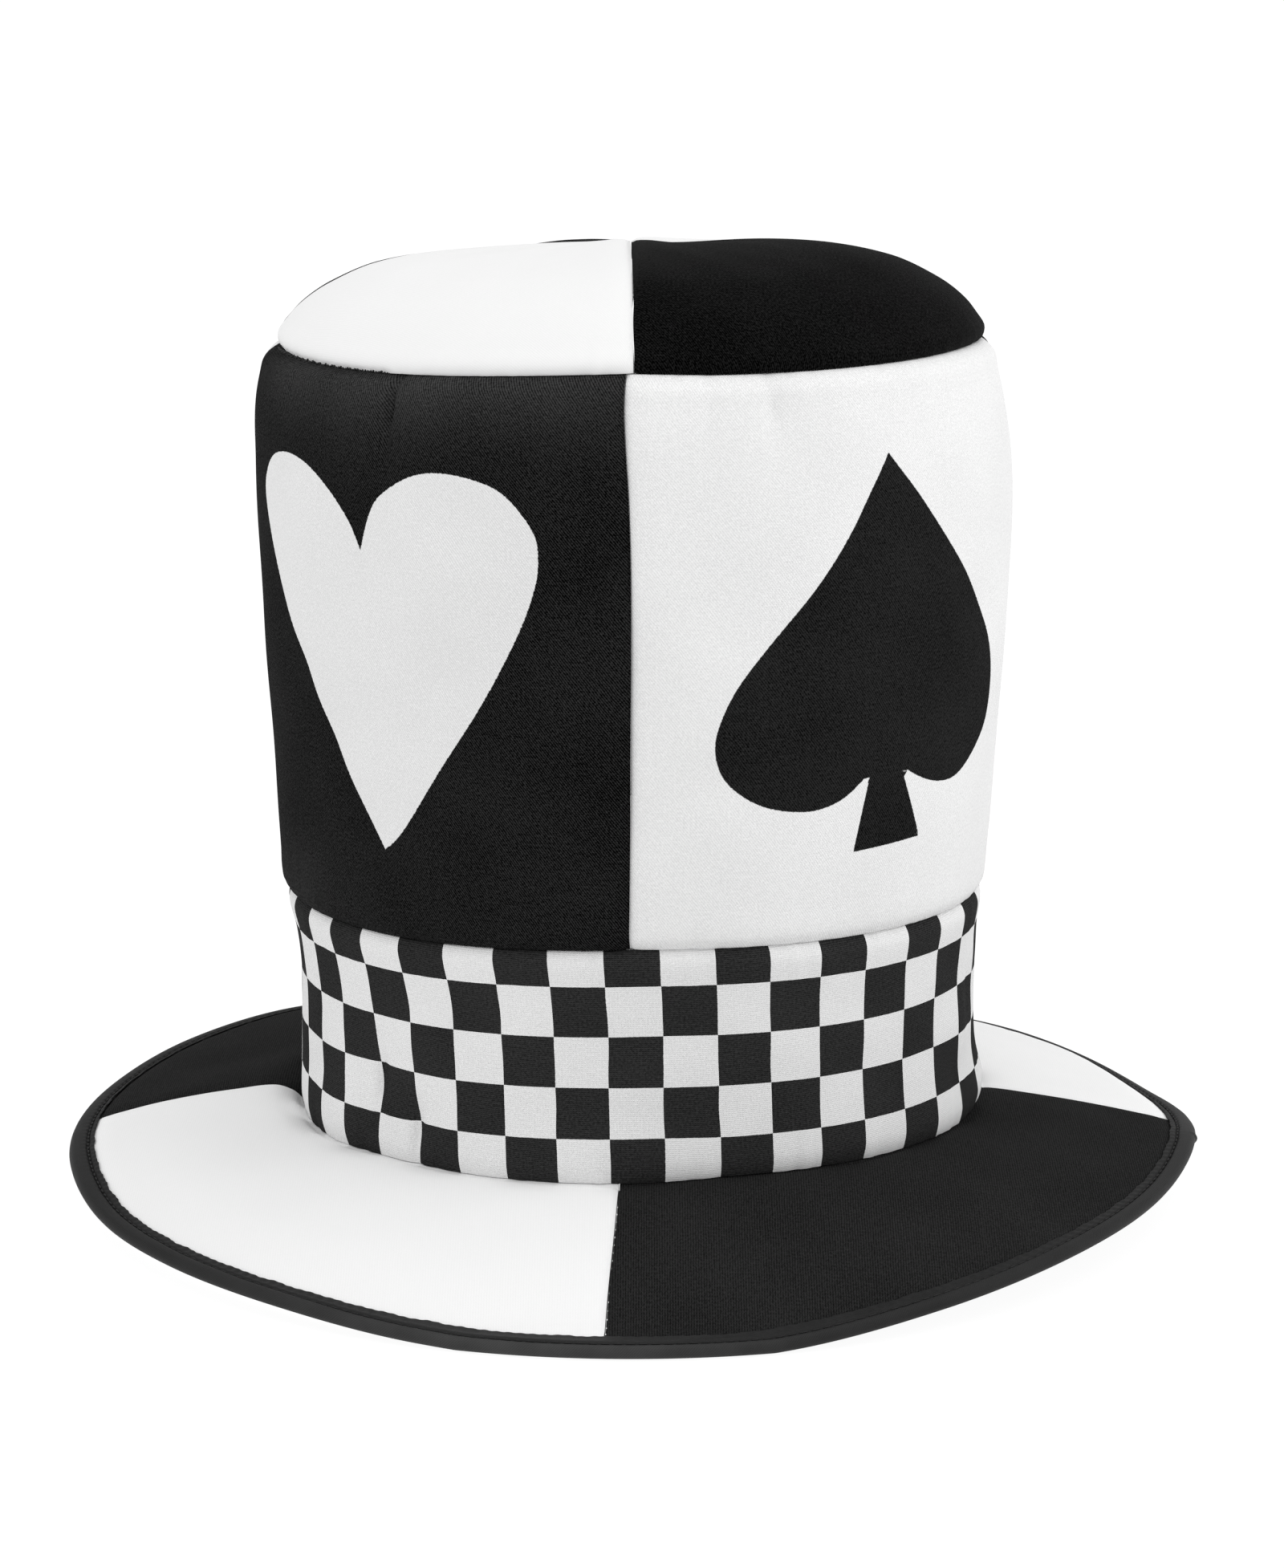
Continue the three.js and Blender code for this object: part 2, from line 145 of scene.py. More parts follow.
# Fine creases in the cloth itself, pressed in the same way
BAND_CREASES = table(
    "azimuth height across tall depth",
    (-47.5, 0.32, 0.022, 0.12, 0.65), (-39, 0.14, 0.02, 0.12, 0.6), (-20, 0.9, 0.02, 0.08, 0.12),
    (12, 0.93, 0.02, 0.07, 0.12), (35, 0.9, 0.025, 0.08, 0.14), (-62, 0.9, 0.02, 0.08, 0.16),
    (75, 0.55, 0.03, 0.2, 0.2), (160, 0.5, 0.03, 0.2, 0.3),
)
CROWN_CREASES = table(
    "azimuth height across tall depth",
    (-38, 0.95, 0.013, 0.06, 0.9), (21.5, 0.95, 0.02, 0.05, 0.35), (-63, 0.96, 0.014, 0.04, 0.4),
    (-55, 0.62, 0.14, 0.06, 0.4), (-29, 0.5, 0.12, 0.05, 0.45), (-47, 0.36, 0.14, 0.05, 0.35),
    (-24, 0.75, 0.09, 0.06, 0.4), (12, 0.3, 0.1, 0.05, 0.3), (60, 0.55, 0.12, 0.06, 0.3),
    (-62, 0.45, 0.09, 0.05, 0.45), (-38, 0.55, 0.05, 0.035, 0.3), (-49, 0.48, 0.15, 0.06, -0.4),
    (-30, 0.66, 0.12, 0.06, -0.35), (140, 0.92, 0.02, 0.06, 0.4), (-140, 0.9, 0.03, 0.07, 0.35),
    (-110, 0.5, 0.12, 0.05, 0.25), (-9, 0.1, 0.03, 0.08, 0.2),
)
# Where the tip's padding stands higher or lower than its even dome, by its share of the way out
TIP_FOLDS = table(
    "azimuth height across tall depth",
    (-80, 0.62, 0.5, 0.35, -1.15), (-128, 0.68, 0.4, 0.3, 0.45), (60, 0.14, 0.7, 0.2, 0.65),
    (76, 0.66, 0.55, 0.32, -1.15), (-144, 0.36, 0.55, 0.2, -0.62), (-90, 0.08, 1.2, 0.12, 0.25),
)
# Where the tip's edge is fuller: how far that reaches each way in degrees, and the share it adds
TIP_SHOULDERS = table(
    "azimuth across fuller",
    (-80, 36, 0.03), (84, 30, 0.042),
)
# The binding's outside from its upper inner edge to its lower one
BINDING_ROWS = table(
    "along in side",
    (0, 1, 0.95), (1, 0.95, 1.0), (2, 0.86, 1), (3, 0.76, 0.98), (4, 0.66, 0.98), (5, 0.54, 1),
    (6, 0.34, 1), (7, 0.11, 0.76), (8, 0, 0), (9, 0.11, -0.76), (10, 0.34, -1), (11, 0.56, -1),
    (12, 0.68, -0.97), (13, 0.76, -0.88), (14, 0.86, -0.95), (15, 0.95, -1), (16, 1, -0.96),
)
# Small waves that the padding and the gathered seams give the cloth: how many round the hat, size and start
GATHERS = table(
    "count size start",
    (61, 0.1, 0.4), (83, 0.09, 2.1), (107, 0.08, 4.4), (139, 0.05, 1.3),
)
PADDING = table(
    "count rise size start",
    (7, 1.3, 0.16, 0.2), (11, 2.1, 0.14, 1.7), (17, 1.7, 0.1, 3.9), (5, 3.2, 0.12, 5.2), (23, 3.9, 0.06, 2.6),
)

CROWN_LEVEL = BRIM_LIFT + BAND_HEIGHT
TIP_LEVEL = CROWN_LEVEL + CROWN_HEIGHT
EDGE_RADIUS = BAND_RADIUS + BRIM_WIDTH
TIP_RADIUS = BAND_RADIUS * CROWN_ROWS["reach"][-1]
CROWN_RADIUS = BAND_RADIUS * 1.07  # about the middle of the crown's height
HALF_BINDING = BOUND_WALL / 2 + SEAM_GAP + TAPE_WALL


def follow(rows, key, column, at):
    """The smooth curve through one column of a table, the same one that the solids use."""
    keys, values = rows[key], rows[column]
    order = np.arange(len(keys))
    before, after = np.maximum(order - 1, 0), np.minimum(order + 1, len(keys) - 1)
    slope = (values[after] - values[before]) / (keys[after] - keys[before])
    at = np.clip(at, keys[0], keys[-1])
    upper = np.clip(np.searchsorted(keys, at), 1, len(keys) - 1)
    lower = upper - 1
    span = keys[upper] - keys[lower]
    share = (at - keys[lower]) / span
    square, cube = share**2, share**3
    return (
        values[lower] * (2 * cube - 3 * square + 1)
        + values[upper] * (3 * square - 2 * cube)
        + slope[lower] * span * (cube - 2 * square + share)
        + slope[upper] * span * (cube - square)
    )


def turned(azimuth):
    return np.mod(azimuth + FULL_TURN / 2, FULL_TURN) - FULL_TURN / 2


def around(rows, column, azimuth):
    """The same for a table that runs once round the hat."""
    keys, values = rows["azimuth"], rows[column]
    lap = {
        "azimuth": np.concatenate([keys[-1:] - FULL_TURN, keys, keys[:2] + FULL_TURN]),
        column: np.concatenate([values[-1:], values, values[:2]]),
    }
    return follow(lap, "azimuth", column, turned(azimuth))


def band_seam(azimuth):
    return BRIM_LIFT * (1 + around(SEAM_ROWS, "band", azimuth))


def crown_seam(azimuth):
    return CROWN_LEVEL + BRIM_LIFT * around(SEAM_ROWS, "crown", azimuth)


def tip_seam(azimuth):
    return TIP_LEVEL + BRIM_LIFT * around(SEAM_ROWS, "tip", azimuth)


def place(radius, azimuth, height):
    turn = np.radians(azimuth)
    return np.stack(np.broadcast_arrays(radius * np.sin(turn), -radius * np.cos(turn), height), -1)


def to_seam(layer, radius, azimuth):
    """Distance along an arc to the nearest of a layer's seams."""
    turns = [np.abs(turned(azimuth - turn)) for turn in SEAM_TURNS[layer]]
    return radius * np.radians(np.min(turns, axis=0))


def strayed(seam, out):
    return follow(STRAY_ROWS, "out", STRAY_SIDES[seam % 4], out)


def sunk(distance):
    share = np.maximum(0, 1 - distance / DIP_REACH)
    return SEAM_DIP * share**2


def pressed(folds, azimuth, height):
    total = 0
    for middle, level, across, tall, depth in zip(*folds.values()):
        along = np.radians(turned(azimuth - middle)) / across
        up = (height - level) / tall
        total = total + FOLD_DEPTH * depth * np.exp(-(along**2) - up**2)
    return total


def gathered(azimuth, phase=0.0):
    turn = np.radians(azimuth)
    return sum(s * np.cos(n * turn + b + phase) for n, s, b in zip(*GATHERS.values()))


def puffed(azimuth, height, phase=0.0):
    turn = np.radians(azimuth)
    total = 0
    for count, rise, size, start in zip(*PADDING.values()):
        upward = np.cos(rise * math.tau * height + 2 * start)
        total = total + size * np.cos(count * turn + start + phase) * upward
    return total


def spaced(steps, ends):
    """Shares from 0 to 1, closer together towards both ends."""
    share = np.linspace(0, 1, steps + 1)
    return share - ends * np.sin(math.tau * share) / math.tau


# Meshes

def grid_faces(index):
    """Four-sided faces of a grid of corner numbers, counter-clockwise with rows going up."""
    return np.stack([index[:-1, :-1], index[:-1, 1:], index[1:, 1:], index[1:, :-1]], -1).reshape(-1, 4)


def finish_mesh(name, points, faces, maps=None, values=None):
    """Makes an object from points in millimetres, with its maps and values, and merges what coincides."""
    mesh = bpy.data.meshes.new(name)
    mesh.from_pydata((np.asarray(points) * MM).tolist(), [], faces)
    corners = np.zeros(len(mesh.loops), np.int64)
    mesh.loops.foreach_get("vertex_index", corners)
    for title, coordinates in (maps or {}).items():
        layer = mesh.uv_layers.new(name=title)
        layer.uv.foreach_set("vector", np.asarray(coordinates)[corners].astype(np.float32).ravel())
    for title, numbers in (values or {}).items():
        attribute = mesh.attributes.new(title, "FLOAT", "POINT")
        attribute.data.foreach_set("value", np.asarray(numbers, np.float32).ravel())
    work = bmesh.new()
    work.from_mesh(mesh)
    bmesh.ops.remove_doubles(work, verts=work.verts, dist=1e-7)
    work.to_mesh(mesh)
    work.free()
    mesh.shade_smooth()
    mesh.set_sharp_from_angle(angle=math.radians(62))
    piece = bpy.data.objects.new(name, mesh)
    bpy.context.scene.collection.objects.link(piece)
    return piece


def padded_wall(name, outer, inner, maps, values=None, ring=False):
    """A closed padded wall between two skins on one grid. The inner skin keeps every second row and column,
    and is marked as the inside."""
    rows, columns = outer.shape[:2]
    first = np.arange(rows * columns).reshape(rows, columns)
    kept = inner[::2, ::2]
    second = rows * columns + np.arange(kept.shape[0] * kept.shape[1]).reshape(kept.shape[:2])
    faces = grid_faces(first).tolist() + grid_faces(second)[:, ::-1].tolist()

    def rim(edge, hidden):
        strips = [hidden[:-1], hidden[1:], edge[2::2], edge[1::2], edge[:-2:2]]
        return np.stack(strips, -1)

    faces += rim(first[0], second[0]).tolist()
    faces += rim(first[-1], second[-1])[:, ::-1].tolist()
    if not ring:
        faces += rim(first[:, 0], second[:, 0])[:, ::-1].tolist()
        faces += rim(first[:, -1], second[:, -1]).tolist()
    points = np.concatenate([outer.reshape(-1, 3), kept.reshape(-1, 3)])
    both = {}
    for title, flat in maps.items():
        both[title] = np.concatenate([flat.reshape(-1, 2), flat[::2, ::2].reshape(-1, 2)])
    marks = {}
    for title, flat in (values or {}).items():
        marks[title] = np.concatenate([flat.ravel(), flat[::2, ::2].ravel()])
    marks["inside"] = (np.arange(len(points)) >= rows * columns).astype(float)
    return finish_mesh(name, points, faces, both, marks)


def columns_of(layer, start, steps):
    turns = (*SEAM_TURNS[layer], SEAM_TURNS[layer][0] + FULL_TURN)
    return turns[start] + (turns[start + 1] - turns[start]) * spaced(steps, 0.5)


def parted(points, azimuths):
    """Moves a quarter away from the two seams beside it."""
    middle = (azimuths[0] + azimuths[-1]) / 2
    return points + place(SEAM_GAP / 2 * math.sqrt(2), middle, 0)


# Crown and band

TUCK = 0.9  # how far a seam's turned-in edge draws the cloth below the surface
TUCK_REACH = 1.3
GATHER_REACH = 11.0
CREASE_DEPTH = 0.6  # the crease along a seam between quarters
CREASE_REACH = 0.9
FAR = 99.0  # no seam between quarters is near


def seam_crease(beside):
    return np.exp(-((beside / CREASE_REACH) ** 2))


def wall_skin(rows, folds, creases, low, high, layer, azimuth, height, depth, phase):
    reach = follow(rows, "height", "reach", height) * BAND_RADIUS
    lean = follow(rows, "height", "lean", height) * BAND_RADIUS
    bottom, top = low(azimuth) + SEAM_GAP / 2, high(azimuth) - SEAM_GAP / 2
    radius = reach - depth - pressed(folds, azimuth, height)
    beside = to_seam(layer, reach, azimuth) if layer else FAR
    if layer:
        radius = radius - sunk(beside)
    if depth == 0:
        ends = np.minimum(height, 1 - height) * (top - bottom)
        tuck = TUCK * (np.clip(0.35 + height, 0, 1) if creases is BAND_CREASES else 1 + 0.5 * (height > 0.5))
        radius = radius - tuck * np.exp(-ends / TUCK_REACH) - CREASE_DEPTH * seam_crease(beside)
        radius = radius - pressed(creases, azimuth, height)
        if layer:
            radius = radius + 0.8 * np.exp(-(((ends - 4) / 3) ** 2)) * (height > 0.5)
        radius = radius + gathered(azimuth, phase + 3 * (height > 0.5)) * np.exp(-ends / GATHER_REACH)
        radius = radius + puffed(azimuth, height, phase) * np.minimum(1, ends / 20)
    points = place(radius, azimuth, bottom + (top - bottom) * height)
    points[..., 0] += lean
    return points


def cloth_map(azimuth, points, radius):
    """Cloth coordinates in metres: along the arc and up."""
    return np.stack([np.radians(azimuth) * radius * MM, points[..., 2] * MM], -1)


# Card suits printed on the crown: azimuth, height above the floor, and 1 at a sharp corner
SUITS = {
    "heart": (
        (-43.4, 199.2, 1), (-45.2, 206.6, 0), (-49.4, 214.7, 0), (-55.1, 220.9, 0), (-61.5, 222.8, 0),
        (-68.5, 220.0, 0), (-73.0, 212.0, 0), (-72.6, 202.5, 0), (-67.9, 187.9, 0), (-58.7, 164.7, 0),
        (-48.2, 136.3, 0), (-40.9, 116.0, 1), (-36.8, 123.3, 0), (-29.5, 142.3, 0), (-22.9, 160.0, 0),
        (-17.0, 180.0, 0), (-14.2, 193.4, 0), (-13.5, 201.4, 0), (-14.1, 209.2, 0), (-17.9, 218.3, 0),
        (-22.3, 222.1, 0), (-28.2, 223.5, 0), (-33.2, 221.7, 0), (-38.8, 215.8, 0), (-41.3, 209.4, 0),
    ),
    "spade": (
        (39.8, 227.5, 1), (36.0, 217.3, 0), (32.4, 206.9, 0), (27.1, 193.8, 0), (20.3, 179.6, 0),
        (15.0, 167.2, 0), (12.4, 157.3, 0), (11.7, 149.9, 0), (12.8, 142.6, 0), (15.4, 137.2, 0),
        (19.4, 133.0, 0), (24.2, 130.9, 0), (28.5, 130.7, 0), (33.0, 133.2, 0), (37.6, 139.3, 1),
        (35.1, 117.1, 1), (49.3, 117.7, 1), (43.9, 139.4, 1), (48.2, 135.1, 0), (53.2, 132.1, 0),
        (58.8, 132.2, 0), (65.3, 137.8, 0), (69.3, 145.0, 0), (70.0, 155.5, 0), (67.9, 166.9, 0),
        (63.5, 179.0, 0), (57.7, 190.0, 0), (51.2, 202.9, 0), (45.9, 214.3, 0), (42.1, 222.1, 0),
    ),
    "diamond": (
        (134.5, 228.0, 1), (121.0, 199.0, 0), (108.5, 173.0, 1), (121.0, 147.0, 0),
        (134.5, 118.0, 1), (148.0, 147.0, 0), (160.5, 173.0, 1), (148.0, 199.0, 0),
    ),
    "club": (
        (221.5, 137.0, 1), (217.5, 117.0, 1), (231.5, 117.0, 1), (227.5, 137.0, 1), (233.0, 133.5, 0),
        (240.0, 132.5, 0), (247.5, 138.0, 0), (251.5, 148.5, 0), (249.0, 160.0, 0), (242.5, 167.5, 0),
        (236.5, 169.5, 1), (240.0, 178.0, 0), (241.5, 190.0, 0), (238.0, 204.0, 0), (231.5, 212.0, 0),
        (224.5, 214.0, 0), (217.5, 212.0, 0), (211.0, 204.0, 0), (207.5, 190.0, 0), (209.0, 178.0, 0),
        (212.5, 169.5, 1), (206.5, 167.5, 0), (200.0, 160.0, 0), (197.5, 148.5, 0), (201.5, 138.0, 0),
        (209.0, 132.5, 0), (216.0, 133.5, 0),
    ),
}
SUIT_STEPS = 8


def outline_of(suit, middle):
    """The suit's smooth closed outline in millimetres on the crown's quarter, unrolled about its middle."""
    knots = np.array(SUITS[suit], float)
    flat = unrolled(knots[:, 0] - middle, knots[:, 1])
    sharp = knots[:, 2] > 0
    count = len(flat)
    line = []
    for here in range(count):
        after = (here + 1) % count
        step = flat[after] - flat[here]
        start = step if sharp[here] else (flat[after] - flat[here - 1]) / 2
        stop = step if sharp[after] else (flat[(after + 1) % count] - flat[here]) / 2
        for share in np.arange(SUIT_STEPS) / SUIT_STEPS:
            square, cube = share**2, share**3
            line.append(
                flat[here] * (2 * cube - 3 * square + 1)
                + flat[after] * (3 * square - 2 * cube)
                + start * (cube - 2 * square + share)
                + stop * (cube - square)
            )
    return np.array(line)


def unrolled(azimuth, height):
    return np.stack([np.radians(turned(azimuth)) * CROWN_RADIUS, height], -1)


def depth_inside(points, line):
    """Distance from each point to a closed outline, positive inside it."""
    start, stop = line, np.roll(line, -1, axis=0)
    edge = stop - start
    offset = points[:, None] - start
    share = np.clip((offset * edge).sum(-1) / (edge**2).sum(-1), 0, 1)
    distance = np.linalg.norm(offset - share[..., None] * edge, axis=-1).min(1)
    level = points[:, None, 1]
    crosses = (start[:, 1] > level) != (stop[:, 1] > level)
    at = start[:, 0] + (level - start[:, 1]) / np.where(edge[:, 1] == 0, 1e-9, edge[:, 1]) * edge[:, 0]
    inside = (crosses & (points[:, None, 0] < at)).sum(1) % 2 == 1
    return np.where(inside, distance, -distance)


def make_crown(quarter):
    azimuth = columns_of("crown", quarter["start"], 120)
    grid, level = np.meshgrid(azimuth, spaced(130, 0.5))
    skins = [
        parted(
            wall_skin(
                CROWN_ROWS, CROWN_FOLDS, CROWN_CREASES, crown_seam, tip_seam, "crown", grid, level, depth,
                quarter["start"],
            ),
            azimuth,
        )
        for depth in (0, CLOTH_WALL)
    ]
    middle = (azimuth[0] + azimuth[-1]) / 2
    line = outline_of(quarter["suit"], middle)
    flat = unrolled(grid - middle, skins[0][..., 2]).reshape(-1, 2)
    blocks = [depth_inside(block, line) for block in np.array_split(flat, 16)]
    suit = np.concatenate(blocks).reshape(grid.shape)
    maps = {"cloth": cloth_map(grid, skins[0], CROWN_RADIUS)}
    # The suit's depth, and where the nap is painted paler: a painted sheen along the top edge, and a paler
    # low corner
    values = {"suit": suit * MM, "rubbed": nap_sheen_and_paling(grid, level, azimuth)}
    return padded_wall(f"crown_cloth_{quarter['side']}", *skins, maps, values)


def nap_sheen_and_paling(azimuth, height, columns):
    """How far the dark nap is painted paler: a painted sheen along the rolled edge below the tip, where light
    catches it, and a paler patch in a low corner of each panel.
    """
    middle = (columns[0] + columns[-1]) / 2
    across = 2 * (azimuth - middle) / (columns[-1] - columns[0])
    top = 0.32 * np.exp(-(((1 - height) * CROWN_HEIGHT / 13) ** 2)) * np.exp(-((across - 0.2) / 0.85) ** 4)
    corner = 0.12 * np.exp(-((height * CROWN_HEIGHT / 22) ** 2)) * np.exp(-(((across + 0.55) / 0.45) ** 2))
    return top + corner


# The checks: where the printed columns fall round the band, and how far below the crown the rows begin
CHECK_COLUMNS = table(
    "azimuth column",
    (-66, -8), (-48.6, -6), (-30.8, -4), (-13.3, -2), (4.05, 0), (21.6, 2), (39.3, 4), (58.7, 6),
    (78.6, 8), (186.5, 20), (294, 32),
)
CHECK_HEIGHT = 14.55
CHECK_START = 4.25
# How far the columns slant from row to row, in degrees
CHECK_SLANTS = table(
    "azimuth slant",
    (-180, 0), (-90, 0.3), (-40, 0.38), (0, 0.03), (15, 0.1), (50, -0.05), (100, 0),
)


def check_map(azimuth, below):
    row = (below + CHECK_START) / CHECK_HEIGHT
    slant = around(CHECK_SLANTS, "slant", azimuth) * (row - 2)
    lap = azimuth - slant - 0.22 * puffed(azimuth, row * 0.35, 6.0)
    keys = CHECK_COLUMNS["azimuth"]
    low = keys[0]
    wraps = np.floor((lap - low) / FULL_TURN)
    column = np.interp(lap - wraps * FULL_TURN, keys, CHECK_COLUMNS["column"]) + 40 * wraps
    return np.stack([column, row], -1)


def make_band():
    azimuth = np.linspace(-FULL_TURN / 2, FULL_TURN / 2, 481)
    grid, level = np.meshgrid(azimuth, spaced(64, 0.4))
    skins = [
        wall_skin(BAND_ROWS, BAND_FOLDS, BAND_CREASES, band_seam, crown_seam, None, grid, level, depth, 1.0)
        for depth in (0, CLOTH_WALL)
    ]
    below = crown_seam(grid) - skins[0][..., 2]
    maps = {"cloth": cloth_map(grid, skins[0], BAND_RADIUS), "checks": check_map(grid, below)}
    return padded_wall("band_cloth", *skins, maps, ring=True)


# Tip

EDGE_TUCK = 1.8  # how far the tip's sewn edge is drawn in
ROLL = 0.9  # the roll of padding above it, with its height and spread
ROLL_HEIGHT = 3.4
ROLL_SPREAD = 2.6


def tip_skin(azimuth, inward, depth):
    radius = (TIP_RADIUS - depth) * inward
    beside = to_seam("tip", radius, azimuth)
    dip = sunk(beside)
    turn = np.radians(azimuth)
    full = (TIP_SAG * np.sin(turn) + TIP_FULLNESS * np.cos(turn)) * 4 * inward * (1 - inward)
    shoulder = 0
    for middle, across, fuller in zip(*TIP_SHOULDERS.values()):
        shoulder = shoulder + fuller * np.exp(-((turned(azimuth - middle) / across) ** 2))
    shoulder = shoulder * (1 - inward**30)
    share = follow(TIP_ROWS, "in", "height", inward - shoulder * inward)
    rise = (TIP_RISE - depth + full) * share - dip * (1 - inward**2)
    seam = TIP_LEVEL + (tip_seam(azimuth) - TIP_LEVEL) * inward + SEAM_GAP / 2
    radius = radius - dip * inward**2
    if depth == 0:
        ends = np.maximum(0, rise)
        edge = np.exp(-ends / TUCK_REACH)
        roll = ROLL * np.exp(-(((ends - ROLL_HEIGHT) / ROLL_SPREAD) ** 2))
        radius = radius - EDGE_TUCK * edge + roll + gathered(azimuth, 5.0) * 0.8 * np.exp(-ends / 7)
        rise = rise - pressed(TIP_FOLDS, azimuth, inward) * share
        rise = rise - CREASE_DEPTH * seam_crease(beside) * (1 - edge)
        rise = rise + puffed(azimuth, inward * 0.6, 2.0) * (1 - inward**4) * np.minimum(1, inward * 2.5)
    points = place(radius, azimuth, seam + rise)
    points[..., 0] += CROWN_ROWS["lean"][-1] * BAND_RADIUS
    return points


def draped_map(azimuth, skin):
    """Cloth coordinates in metres by the run along the skin from the middle."""
    steps = np.linalg.norm(np.diff(skin[::-1], axis=0), axis=-1)
    run = np.concatenate([np.zeros((1, skin.shape[1])), np.cumsum(steps, axis=0)])[::-1]
    return place(run, azimuth, 0)[..., :2] * MM


def make_tip(quarter):
    azimuth = columns_of("tip", quarter["start"], 100)
    inward = np.sin(np.linspace(math.pi / 2, 0, 71))
    grid, share = np.meshgrid(azimuth, inward)
    skins = [parted(tip_skin(grid, share, depth), azimuth) for depth in (0, CLOTH_WALL)]
    maps = {"cloth": draped_map(grid, skins[0])}
    return padded_wall(f"tip_cloth_{quarter['side']}", *skins, maps)


# Brim

def band_foot(azimuth):
    lean = BAND_ROWS["lean"][0] * np.sin(np.radians(azimuth))
    return BAND_RADIUS * (BAND_ROWS["reach"][0] + lean) - pressed(BAND_FOLDS, azimuth, 0)


def outer_edge(azimuth):
    return EDGE_RADIUS * around(EDGE_ROWS, "reach", azimuth)


def brim_middle(azimuth, radius):
    """The height of the brim's middle layer, lying flat where it rests."""
    foot = band_foot(azimuth)
    out = np.clip((radius - foot) / (outer_edge(azimuth) - foot), 0, 1)
    root = band_seam(azimuth) - SEAM_GAP / 2 - BRIM_WALL / 2
    edge = BRIM_LIFT * around(EDGE_ROWS, "lift", azimuth)
    puff = BRIM_PUFF * follow(ARCH_ROWS, "out", "puff", out) * around(RIM_ROWS, "puff", azimuth)
    sag = RIM_SAG * follow(ARCH_ROWS, "out", "sag", out) * around(RIM_ROWS, "sag", azimuth)
    slope = root + (edge - root) * out + puff - sag
    drop = around(DROOP_ROWS, "droop", azimuth) * np.clip((out - 0.8) / 0.2, 0, 1) ** 1.5
    return np.maximum(slope - drop, HALF_BINDING)


SHOULDER = 6.5  # how far from the binding the padding takes to fill out


def brim_skin(azimuth, straight, share, side):
    edge, foot = outer_edge(azimuth), band_foot(azimuth)
    first, last = edge - BINDING_NOSE - SEAM_GAP, foot - CLOTH_WALL
    radius = first + (last - first) * share
    beside = to_seam("brim", radius, straight)
    dip = np.where(radius > foot, sunk(beside), 0)
    free = np.clip((edge - BINDING_WIDTH - SEAM_GAP - radius) / SHOULDER, 0, 1)
    wall = BOUND_WALL + (BRIM_WALL - BOUND_WALL - dip) * np.sqrt(free * (2 - free))
    height = brim_middle(azimuth, radius) + side * wall / 2
    if side > 0:
        under = np.exp(-(np.maximum(0, radius - foot) / 1.5) ** 2) * (radius > foot)
        out = (radius - foot) / (edge - foot)
        height = height - 0.5 * seam_crease(beside) * (radius > foot) * free - 0.25 * under * free
        ripple = gathered(azimuth, 8.0) * 0.25 * np.exp(-np.abs(radius - foot) / 9)
        ripple = ripple + gathered(azimuth, 2.5) * 0.8 * np.exp(-np.abs(edge - BINDING_WIDTH - radius) / 6)
        height = height + (ripple + puffed(azimuth, out * 0.5, 4.0)) * free * (radius > foot)
    return place(radius, azimuth, height)


def make_brim(quarter):
    start = quarter["start"]
    azimuth = columns_of("brim", start, 130)
    grid, share = np.meshgrid(azimuth, spaced(56, 0.35))
    out = np.clip(1 - 1.06 * share, 0, 1)
    across = (grid - azimuth[0]) / (azimuth[-1] - azimuth[0])
    turned_grid = grid + strayed(start, out) * (1 - across) + strayed(start + 1, out) * across
    skins = [parted(brim_skin(turned_grid, grid, share, side), azimuth) for side in (1, -1)]
    maps = {"cloth": skins[0][..., :2] * MM}
    return padded_wall(f"brim_cloth_{quarter['side']}", *skins, maps)


# Binding

STITCHES = 310
BINDING_STEPS = STITCHES * 5
SECTION_STEPS = 49
TAPE_JOIN = 81.0
NOSE_STEP = 8  # the row of the binding's table at the very edge of the brim
CHANNEL_DEPTH = 0.36  # the groove that the stitches pull, as a share of the binding's half height
CHANNEL_REACH = 0.075
# How far a highlight is painted on the tape's satin round the hat, brightest near the front, and where its
# stitch line runs
TAPE_HIGHLIGHT = table(
    "azimuth wear line",
    (-180, 0.05, 0.74), (-90, 0, 0.77), (-60, 0.04, 0.64), (-45, 0.1, 0.52), (-30, 0.22, 0.42),
    (-12, 0.42, 0.33), (0, 0.36, 0.32), (14, 0.16, 0.34), (30, 0.08, 0.42), (60, 0.1, 0.62),
    (85, 0.16, 0.72), (100, 0.12, 0.75), (130, 0.05, 0.74),
)


